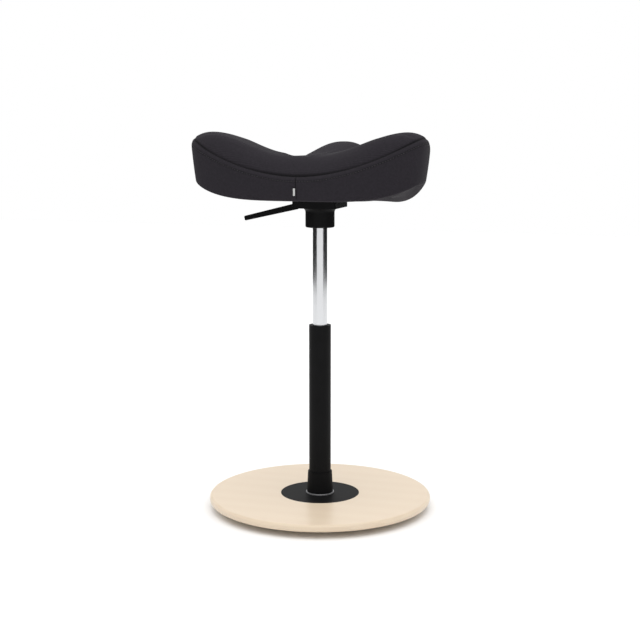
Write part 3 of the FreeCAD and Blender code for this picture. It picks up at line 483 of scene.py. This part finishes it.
# The foam presses the cloth outwards between the seams: a short simulation, held at the seam and
# underneath, and no point may leave its place by more than 4 mm.
SWELL_LIMIT = 0.004
held = cushion.vertex_groups.new(name="held")
hold = np.zeros(len(points))
for row, start in enumerate(row_start):
    if row_kind[row] == "under":
        hold[start:start + ring_size] = 1.0
hold[row_start[SEAM_ROW]:row_start[SEAM_ROW] + ring_size] = 0.9
hold[bottom_start:] = 1.0
for index, weight in enumerate(hold):
    if weight:
        held.add([index], float(weight), "REPLACE")
cloth = cushion.modifiers.new("swell", "CLOTH")
cloth.settings.quality = 4
cloth.settings.mass = 0.4
cloth.settings.tension_stiffness = 60
cloth.settings.compression_stiffness = 60
cloth.settings.shear_stiffness = 30
cloth.settings.bending_stiffness = 6
cloth.settings.use_pressure = True
cloth.settings.uniform_pressure_force = 4.0
cloth.settings.vertex_group_mass = "held"
cloth.settings.effector_weights.gravity = 0.0
for number in range(1, 21):
    bpy.context.scene.frame_set(number)
evaluated = cushion.evaluated_get(bpy.context.evaluated_depsgraph_get())
swollen = np.empty(len(points) * 3)
evaluated.data.vertices.foreach_get("co", swollen)
move = swollen.reshape(-1, 3) - points / 1000
size = np.linalg.norm(move, axis=1, keepdims=True)
print("cushion swell: mean", size.mean(), "largest", size.max())
move *= np.minimum(1.0, SWELL_LIMIT / np.maximum(size, 1e-9))
cushion.modifiers.remove(cloth)
points += move * 1000
bpy.context.scene.frame_set(1)

# Seam and stitching: the sewn edge is pulled in, the cloth stands up a little on both sides of it,
# the row of top-stitching dents the band, and slight puckers run across both.
mesh.vertices.foreach_set("co", (points / 1000).ravel())
mesh.update()
normals = np.empty(len(points) * 3)
mesh.vertices.foreach_get("normal", normals)
normals = normals.reshape(-1, 3)
shift = np.zeros(len(points))
SEAM_DEPTH, LIP, STITCH_DENT, PUCKER = 1.1, 0.25, 0.6, 0.45
offsets = [-inset for inset in TOP_ROWS] + [0.0] + list(BAND_ROWS)
lumps = np.array([noise.noise(Vector((length / 9.0, 3.1, 0.0))) for length in round_length[:-1]])
for row, offset in enumerate(offsets):
    here = -SEAM_DEPTH * math.exp(-(offset / 1.5) ** 2)
    here += LIP * math.exp(-((abs(offset) - 4.0) / 2.2) ** 2)
    here -= STITCH_DENT * math.exp(-((offset - 9.0) / 1.6) ** 2)
    fold = PUCKER * lumps * math.exp(-((offset - 4.0) / 9.0) ** 2)
    start = row_start[row]
    shift[start:start + ring_size] += here + fold
points += normals * shift[:, None]
mesh.vertices.foreach_set("co", (points / 1000).ravel())
mesh.update()

# How much painted shade each point gets along the seam's and the stitching's creases, and which points are
# on the band.
painted_seam_shade, on_band = np.zeros(len(points)), np.zeros(len(points))
for row, offset in enumerate(offsets):
    # Painted shade amount: strongest on the seam row, weaker on the stitching row 9 mm below.
    dark = math.exp(-(offset / 1.3) ** 2) + 0.7 * math.exp(-((offset - 9.0) / 1.2) ** 2)
    painted_seam_shade[row_start[row]:row_start[row] + ring_size] = dark
for row, kind in enumerate(row_kind):
    if kind == "band":
        on_band[row_start[row]:row_start[row] + ring_size] = 1.0
for name, amounts in (("painted_seam_shade", painted_seam_shade), ("on_band", on_band)):
    mesh.attributes.new(name, "FLOAT", "POINT").data.foreach_set("value", amounts)

rounder = cushion.modifiers.new("rounder", "SUBSURF")
rounder.levels = 1
rounder.render_levels = 1

# Charcoal wool cloth, plain weave, milled soft. Real threads lie 0.8 mm apart; they are drawn at
# 1.6 mm so that the weave shows in a near view. Its fuzz gives the slight bloom at the edges.
wool_cloth, tree, shader = new_finish("charcoal_wool_cloth", 0.95, Sheen_Weight=0.03, Sheen_Roughness=0.5,
                                      Specular_IOR_Level=0.12)
THREAD = 0.0016
weave_spot = add(tree, "ShaderNodeUVMap", uv_map="cloth").outputs["UV"]
spot = add(tree, "ShaderNodeTexCoord").outputs["Object"]
axes = add(tree, "ShaderNodeSeparateXYZ", {"Vector": weave_spot})
ripples = []
for axis in ("X", "Y"):
    phase = add(tree, "ShaderNodeMath", {0: axes.outputs[axis], 1: math.pi / THREAD}, operation="MULTIPLY")
    ripples.append(add(tree, "ShaderNodeMath", {0: phase.outputs[0]}, operation="SINE").outputs[0])
crossing = add(tree, "ShaderNodeMath", {0: ripples[0], 1: ripples[1]}, operation="MULTIPLY")
weave = add(tree, "ShaderNodeMath", {0: crossing.outputs[0]}, operation="ABSOLUTE")
fuzz = add(tree, "ShaderNodeTexNoise", {"Vector": spot, "Scale": 900.0, "Detail": 3.0, "Roughness": 0.7})
melange = add(tree, "ShaderNodeTexNoise", {"Vector": spot, "Scale": 260.0, "Detail": 2.0})
flecks = add(tree, "ShaderNodeMix", {0: 0.5, 2: melange.outputs["Fac"], 3: weave.outputs[0]})
colour = ramp(tree, flecks.outputs[0], [(0.15, "#232125"), (0.5, "#2A272C"), (0.85, "#322F35")])
# Painted shade: the cloth colour is darkened along the sewn edges, the row of stitching and the band's own
# seam up the middle of the back, standing in for the shade in their creases.
across = add(tree, "ShaderNodeSeparateXYZ", {"Vector": spot})
off_middle = add(tree, "ShaderNodeMath", {0: across.outputs["X"]}, operation="ABSOLUTE")
near_seam = add(tree, "ShaderNodeMapRange", {"Value": off_middle.outputs[0], "From Min": 0.0006,
                                             "From Max": 0.0013, "To Min": 0.8, "To Max": 0.0})
at_back = add(tree, "ShaderNodeMath", {0: across.outputs["Y"], 1: 0.0}, operation="LESS_THAN")
band_part = add(tree, "ShaderNodeAttribute", attribute_name="on_band")
back_band = add(tree, "ShaderNodeMath", {0: at_back.outputs[0], 1: band_part.outputs["Fac"]},
                operation="MULTIPLY")
painted_back_seam_shade = add(tree, "ShaderNodeMath", {0: near_seam.outputs[0], 1: back_band.outputs[0]},
                operation="MULTIPLY")
sewn = add(tree, "ShaderNodeAttribute", attribute_name="painted_seam_shade")
shade = add(tree, "ShaderNodeMath", {0: painted_back_seam_shade.outputs[0], 1: sewn.outputs["Fac"]},
            operation="MAXIMUM", use_clamp=True)
# Painted shade: the cloth colour is mixed toward near black by the seam shade amount.
shaded = add(tree, "ShaderNodeMix", {0: shade.outputs[0], 6: colour, 7: linear("#0B0A0C")},
             data_type="RGBA")
tree.links.new(shaded.outputs[2], shader.inputs["Base Color"])
height = add(tree, "ShaderNodeMix", {0: 0.45, 2: weave.outputs[0], 3: fuzz.outputs["Fac"]})
relief = add(tree, "ShaderNodeBump", {"Height": height.outputs[0], "Strength": 0.35, "Distance": 0.0003})
tree.links.new(relief.outputs["Normal"], shader.inputs["Normal"])
mesh.materials.append(wool_cloth)

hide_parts("seat_cover", "seat_foam")
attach(cushion, "seat")


# Top-stitching: a row of lock stitches in charcoal thread, 9 mm below the seam and all round the
# band, each stitch 4 mm long and pressed into the cloth.

STITCH_PITCH, STITCH_LENGTH, THREAD_RADIUS = 0.005, 0.0038, 0.00045

row = points[row_start[STITCH_ROW]:row_start[STITCH_ROW] + ring_size] / 1000
row_normals = normals[row_start[STITCH_ROW]:row_start[STITCH_ROW] + ring_size]
path = bpy.data.curves.new("stitch_line", "CURVE")
path.dimensions = "3D"
spline = path.splines.new("POLY")
spline.points.add(ring_size - 1)
for spline_point, place, normal in zip(spline.points, row, row_normals):
    spline_point.co = (*(place + normal * 0.0001), 1.0)
spline.use_cyclic_u = True
stitch_line = bpy.data.objects.new("stitch_line", path)
bpy.context.scene.collection.objects.link(stitch_line)

stitch_tree = bpy.data.node_groups.new("stitches", "GeometryNodeTree")
stitch_tree.interface.new_socket("Geometry", in_out="INPUT", socket_type="NodeSocketGeometry")
stitch_sizes = {"Pitch": STITCH_PITCH, "Stitch length": STITCH_LENGTH, "Thread radius": THREAD_RADIUS}
for name, default in stitch_sizes.items():
    socket = stitch_tree.interface.new_socket(name, in_out="INPUT", socket_type="NodeSocketFloat")
    socket.default_value = default
stitch_tree.interface.new_socket("Geometry", in_out="OUTPUT", socket_type="NodeSocketGeometry")
thread_material, tree, shader = new_finish("polyester_thread", 0.6, Sheen_Weight=0.1)
spot = add(tree, "ShaderNodeTexCoord").outputs["Object"]
twist = add(tree, "ShaderNodeTexNoise", {"Vector": spot, "Scale": 1500.0, "Detail": 1.0})
tree.links.new(ramp(tree, twist.outputs["Fac"], [(0.3, "#1F1D21"), (0.7, "#2B292D")]),
               shader.inputs["Base Color"])
sizes = add(stitch_tree, "NodeGroupInput")
spaced = add(stitch_tree, "GeometryNodeCurveToPoints", {"Curve": sizes.outputs["Geometry"],
                                                        "Length": sizes.outputs["Pitch"]}, mode="LENGTH")
half = add(stitch_tree, "ShaderNodeMath", {0: sizes.outputs["Stitch length"], 1: 0.5}, operation="MULTIPLY")
start = add(stitch_tree, "ShaderNodeCombineXYZ", {"Z": half.outputs[0]})
back = add(stitch_tree, "ShaderNodeMath", {0: half.outputs[0], 1: -1.0}, operation="MULTIPLY")
end = add(stitch_tree, "ShaderNodeCombineXYZ", {"Z": back.outputs[0]})
bar = add(stitch_tree, "GeometryNodeMeshUVSphere", {"Segments": 6, "Rings": 5, "Radius": 1.0})
stretch = add(stitch_tree, "ShaderNodeCombineXYZ", {"X": sizes.outputs["Thread radius"],
                                                    "Y": sizes.outputs["Thread radius"],
                                                    "Z": half.outputs[0]})
stitch_shape = add(stitch_tree, "GeometryNodeTransform", {"Geometry": bar.outputs["Mesh"],
                                                          "Scale": stretch.outputs[0]})
laid = add(stitch_tree, "GeometryNodeInstanceOnPoints", {"Points": spaced.outputs["Points"],
                                                         "Instance": stitch_shape.outputs["Geometry"],
                                                         "Rotation": spaced.outputs["Rotation"]})
real = add(stitch_tree, "GeometryNodeRealizeInstances", {"Geometry": laid.outputs["Instances"]})
dyed = add(stitch_tree, "GeometryNodeSetMaterial", {"Geometry": real.outputs["Geometry"],
                                                    "Material": thread_material})
add(stitch_tree, "NodeGroupOutput", {"Geometry": dyed.outputs["Geometry"]})
sewing = stitch_line.modifiers.new("sewing", "NODES")
sewing.node_group = stitch_tree
sewn_line = stitch_line.evaluated_get(bpy.context.evaluated_depsgraph_get())
stitch_mesh = bpy.data.meshes.new_from_object(sewn_line)
stitch_mesh.name = "top_stitching"
top_stitching = bpy.data.objects.new("top_stitching", stitch_mesh)
bpy.context.scene.collection.objects.link(top_stitching)
bpy.data.objects.remove(stitch_line)
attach(top_stitching, "seat")


# Blank care tag: white woven tape, folded and caught in the band's rear seam.

tag_low, tag_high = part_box("seam_tag")
tag_outline = ring_reach[np.argmin(np.abs(ring_angle + math.pi / 2))] / 1000
woven_tape, tree, shader = new_finish("white_woven_tape", 0.8)
spot = add(tree, "ShaderNodeTexCoord").outputs["Object"]
ribs = add(tree, "ShaderNodeTexWave", {"Vector": spot, "Scale": 320.0}, bands_direction="Z")
tree.links.new(ramp(tree, ribs.outputs["Fac"], [(0.2, "#B4B4B3"), (0.8, "#CDCDCC")]),
               shader.inputs["Base Color"])
TAG_MARGIN, TAG_SEAM_MARGIN, TAG_LIFT, TAG_FOLD, TAG_EASE = 0.001, 0.0003, 0.0009, 0.0008, 0.4
tag_shape = bmesh.new()
columns, lines = 6, 10
surface = -tag_outline - SIDE_BULGE / 1000
sheet = []
for m in range(lines + 1):
    z = mixed(tag_low[2] + TAG_MARGIN, tag_high[2] - TAG_MARGIN, m / lines)
    line = []
    for n in range(columns + 1):
        share = n / columns
        x = mixed(tag_low[0] + TAG_MARGIN, tag_high[0] - TAG_SEAM_MARGIN, share)
        fold = TAG_FOLD * math.sin(share * math.pi) * (1 - TAG_EASE * math.sin(m / lines * math.pi))
        y = surface - TAG_LIFT - fold
        line.append(tag_shape.verts.new((x, y, z)))
    sheet.append(line)
for m in range(lines):
    for n in range(columns):
        tag_shape.faces.new([sheet[m][n], sheet[m][n + 1], sheet[m + 1][n + 1], sheet[m + 1][n]])
tag_mesh = bpy.data.meshes.new("care_tag")
tag_shape.to_mesh(tag_mesh)
tag_shape.free()
care_tag = bpy.data.objects.new("care_tag", tag_mesh)
bpy.context.scene.collection.objects.link(care_tag)
wall = care_tag.modifiers.new("fold", "SOLIDIFY")
wall.thickness = 0.0007
wall.offset = -1.0
tag_mesh.materials.append(woven_tape)
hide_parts("seam_tag")
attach(care_tag, "seat")


# Floor, light and camera. The camera stands to the right of the stool's back, a little above it.

CAMERA_AZIMUTH = 17.5
floor_mesh = bpy.data.meshes.new("floor")
FLOOR_REACH = 6
floor_corners = [(x * FLOOR_REACH, y * FLOOR_REACH, 0) for x, y in ((-1, -1), (1, -1), (1, 1), (-1, 1))]
floor_mesh.from_pydata(floor_corners, [], [(0, 1, 2, 3)])
floor = bpy.data.objects.new("floor", floor_mesh)
bpy.context.scene.collection.objects.link(floor)
floor_finish, tree, shader = new_finish("white_floor", 0.9, Specular_IOR_Level=0.2)
shader.inputs["Base Color"].default_value = linear("#FAFAFA")
floor_mesh.materials.append(floor_finish)

world = bpy.data.worlds.new("studio")
bpy.context.scene.world = world
world.use_nodes = True
tree = world.node_tree
tree.nodes.clear()
path_kind = add(tree, "ShaderNodeLightPath")
# The soft light comes mostly from above: 0.05 at the horizon and 1.5 overhead.
incoming = add(tree, "ShaderNodeNewGeometry").outputs["Incoming"]
rise = add(tree, "ShaderNodeSeparateXYZ", {"Vector": incoming})
upward = add(tree, "ShaderNodeMath", {0: rise.outputs["Z"]}, operation="ABSOLUTE")
glow = add(tree, "ShaderNodeMapRange", {"Value": upward.outputs[0], "From Max": 0.8,
                                        "To Min": 0.05, "To Max": 1.5})
soft = add(tree, "ShaderNodeBackground", {"Color": linear("#FFFFFF"), "Strength": glow.outputs[0]})
plain = add(tree, "ShaderNodeBackground", {"Color": linear("#FFFFFF"), "Strength": 1.0})
seen = add(tree, "ShaderNodeMath", {0: path_kind.outputs["Is Camera Ray"],
                                    1: path_kind.outputs["Is Glossy Ray"]}, operation="MAXIMUM")
backdrop = add(tree, "ShaderNodeMixShader", {0: seen.outputs[0], 1: soft.outputs[0], 2: plain.outputs[0]})
add(tree, "ShaderNodeOutputWorld", {"Surface": backdrop.outputs[0]})


def add_lamp(name, place, aim, size, power):
    """A square softbox that faces a point."""
    lamp = bpy.data.lights.new(name, "AREA")
    lamp.size = size
    lamp.energy = power
    holder = bpy.data.objects.new(name, lamp)
    bpy.context.scene.collection.objects.link(holder)
    holder.location = place
    holder.rotation_euler = (Vector(aim) - Vector(place)).to_track_quat("-Z", "Y").to_euler()
    return holder


add_lamp("overhead_softbox", (0.3, -0.6, 2.6), (0, 0, 0.3), 2.0, 12)

# Two tall black cards, only seen in reflections, put the dark bands on the chrome tube.
card_finish, tree, shader = new_finish("black_card", 1.0, Specular_IOR_Level=0.0)
shader.inputs["Base Color"].default_value = linear("#0A0A0A")
CARD_DISTANCE, CARD_LOW, CARD_HIGH, CARD_NEAR, CARD_FAR = 0.55, 0.365, 0.80, 49.0, 146.0
for side in (-1, 1):
    corners = []
    for n in range(9):
        turned = math.radians(CAMERA_AZIMUTH + side * mixed(CARD_NEAR, CARD_FAR, n / 8))
        x, y = CARD_DISTANCE * math.sin(turned), -CARD_DISTANCE * math.cos(turned)
        corners += [(x, y, CARD_LOW), (x, y, CARD_HIGH)]
    card_mesh = bpy.data.meshes.new("black_card")
    card_mesh.from_pydata(corners, [], [(2 * n, 2 * n + 1, 2 * n + 3, 2 * n + 2) for n in range(8)])
    card_mesh.materials.append(card_finish)
    card = bpy.data.objects.new("black_card", card_mesh)
    bpy.context.scene.collection.objects.link(card)
    card.visible_camera = False
    card.visible_diffuse = False
    card.visible_shadow = False

# The photograph's view, worked out from the round flange and the column's taper.
CAMERA_PITCH, CAMERA_DISTANCE, CAMERA_HEIGHT = 8.88, 2.445, 0.746
azimuth = math.radians(CAMERA_AZIMUTH)
camera_data = bpy.data.cameras.new("camera")
camera_data.lens = 1300 / 640 * 36
camera_data.sensor_width = 36
camera = bpy.data.objects.new("camera", camera_data)
bpy.context.scene.collection.objects.link(camera)
camera.location = (CAMERA_DISTANCE * math.sin(azimuth), -CAMERA_DISTANCE * math.cos(azimuth),
                   CAMERA_HEIGHT)
camera.rotation_euler = (math.radians(90 - CAMERA_PITCH), 0, azimuth)
bpy.context.scene.camera = camera
bpy.context.scene.view_settings.view_transform = "Standard"
